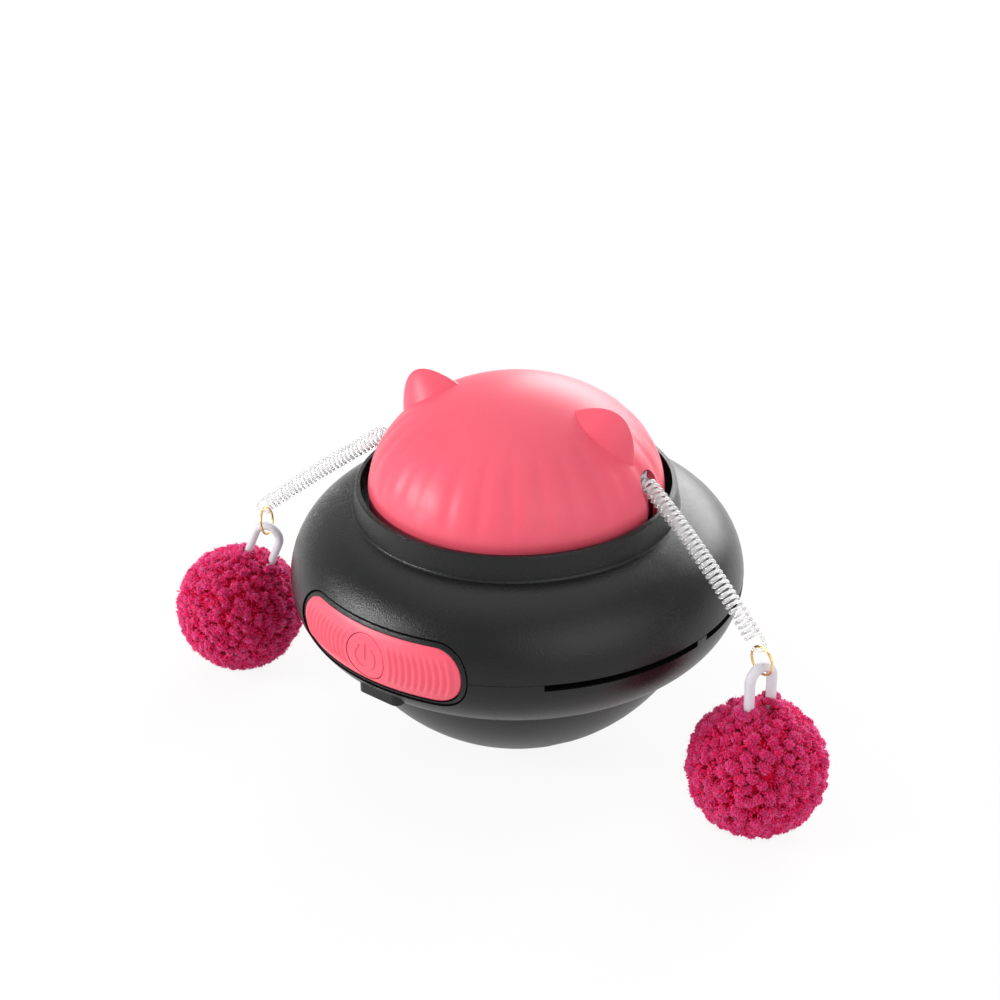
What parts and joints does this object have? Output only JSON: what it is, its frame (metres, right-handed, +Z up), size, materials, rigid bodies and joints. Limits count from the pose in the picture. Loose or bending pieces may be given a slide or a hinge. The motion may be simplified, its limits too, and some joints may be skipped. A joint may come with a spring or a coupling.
{
  "type": "rotating cat toy",
  "caption": "Weighted tabletop cat toy: a motor turns an eared dome in a round body, and coil arms swing yarn pom-poms round it.",
  "frame": {"origin": "middle of the flat foot, on the floor", "axes": "+Z up along the dome's spin axis, -Y towards the switch panel"},
  "size_m": [0.1949, 0.1194, 0.0992],
  "materials": {
    "shell_black": "satin black plastic with a fine grain",
    "coral_plastic": "smooth coral pink plastic",
    "screw_steel": "plain steel",
    "weight_iron": "cast counterweight",
    "motor_steel": "drawn steel can",
    "bush_brass": "turned brass",
    "ring_gold": "bright gold-coloured wire",
    "gear_plastic": "moulded ivory plastic",
    "battery_foil": "foil pouch",
    "board_green": "lacquered circuit board",
    "switch_plastic": "black switch housing",
    "clear_plastic": "clear glossy plastic wire",
    "loop_cord": "pale lavender-grey smooth cord",
    "yarn": "cut magenta yarn"
  },
  "bodies": {
    "base": {"base_bowl": "shell_black", "counterweight": "weight_iron", "weight_screw": "screw_steel", "base_screws": "screw_steel", "lower_shell": "shell_black", "upper_shell": "shell_black", "shell_screws": "screw_steel", "switch_panel": "coral_plastic", "gear_plate": "gear_plastic", "gear_plate_screws": "screw_steel", "motor": "motor_steel", "motor_screws": "screw_steel", "idler_axle": "screw_steel", "lower_bush": "bush_brass", "upper_bush": "bush_brass", "battery": "battery_foil", "circuit_board": "board_green", "board_screws": "screw_steel", "switch_board": "board_green", "tact_switch": "switch_plastic", "charge_socket": "screw_steel"},
    "rotor": {"dome_cover": "coral_plastic", "rotor_plate": "coral_plastic", "rotor_screws": "screw_steel", "drive_shaft": "screw_steel", "shaft_clip": "screw_steel", "output_gear": "gear_plastic", "spring_pins": "screw_steel"},
    "idler": {"idler_gear": "gear_plastic"},
    "pinion": {"motor_pinion": "gear_plastic", "motor_shaft": "screw_steel"},
    "button": {"power_button": "coral_plastic"},
    "swivel_right": {"coil_anchor_right": "clear_plastic"},
    "arm_right": {"coil_spring_right": "clear_plastic"},
    "ring_right": {"link_ring_right": "ring_gold"},
    "pom_right": {"hanger_loop_right": "loop_cord", "pompom_right": "yarn"},
    "swivel_left": {"coil_anchor_left": "clear_plastic"},
    "arm_left": {"coil_spring_left": "clear_plastic"},
    "ring_left": {"link_ring_left": "ring_gold"},
    "pom_left": {"hanger_loop_left": "loop_cord", "pompom_left": "yarn"}
  },
  "joints": [
    {"name": "rotor_spin", "type": "hinge", "parent": "base", "child": "rotor", "pos_m": [0, 0, 0], "axis": [0, 0, 1], "continuous": true},
    {"name": "idler_spin", "type": "hinge", "parent": "base", "child": "idler", "pos_m": [0, 0.0248, 0], "axis": [0, 0, 1], "continuous": true},
    {"name": "pinion_spin", "type": "hinge", "parent": "base", "child": "pinion", "pos_m": [0.01732, 0.0148, 0], "axis": [0, 0, 1], "continuous": true},
    {"name": "button_press", "type": "slide", "parent": "base", "child": "button", "axis": [0, 1, 0], "range_m": [0, 0.0007], "stiffness_N_per_m": 300, "springref_m": -0.0003},
    {"name": "right_sway", "type": "hinge", "parent": "rotor", "child": "swivel_right", "pos_m": [0.03306, 0.00917, 0.07981], "axis": [0, 0, 1], "range_deg": [-2, 62], "stiffness_Nm_per_rad": 0.02},
    {"name": "right_flex", "type": "hinge", "parent": "swivel_right", "child": "arm_right", "pos_m": [0.03577, 0.00847, 0.07981], "axis": [-0.2504, -0.9681, 0], "range_deg": [-2, 45], "stiffness_Nm_per_rad": 0.02},
    {"name": "right_ring_swing", "type": "hinge", "parent": "arm_right", "child": "ring_right", "pos_m": [0.07967, -0.00289, 0.05201], "axis": [0.2504, 0.9681, 0], "range_deg": [-25, 15]},
    {"name": "right_pom_swing", "type": "hinge", "parent": "ring_right", "child": "pom_right", "pos_m": [0.07967, -0.00289, 0.04581], "axis": [0.9681, -0.2504, 0], "range_deg": [-25, 25]},
    {"name": "left_sway", "type": "hinge", "parent": "rotor", "child": "swivel_left", "pos_m": [-0.03306, -0.00917, 0.07981], "axis": [0, 0, 1], "range_deg": [-38, 26], "stiffness_Nm_per_rad": 0.02},
    {"name": "left_flex", "type": "hinge", "parent": "swivel_left", "child": "arm_left", "pos_m": [-0.03566, -0.01019, 0.07981], "axis": [-0.3665, 0.9304, 0], "range_deg": [-1, 45], "stiffness_Nm_per_rad": 0.02},
    {"name": "left_ring_swing", "type": "hinge", "parent": "arm_left", "child": "ring_left", "pos_m": [-0.07012, -0.02377, 0.04975], "axis": [0.9304, 0.3665, 0], "range_deg": [-25, 25]},
    {"name": "left_pom_swing", "type": "hinge", "parent": "ring_left", "child": "pom_left", "pos_m": [-0.06932, -0.02345, 0.04361], "axis": [0.3665, -0.9304, 0], "range_deg": [-25, 25]}
  ],
  "couplings": [
    {"joint": "idler_spin", "follows": "rotor_spin", "ratio": -3.4286},
    {"joint": "pinion_spin", "follows": "rotor_spin", "ratio": 8.8163}
  ]
}
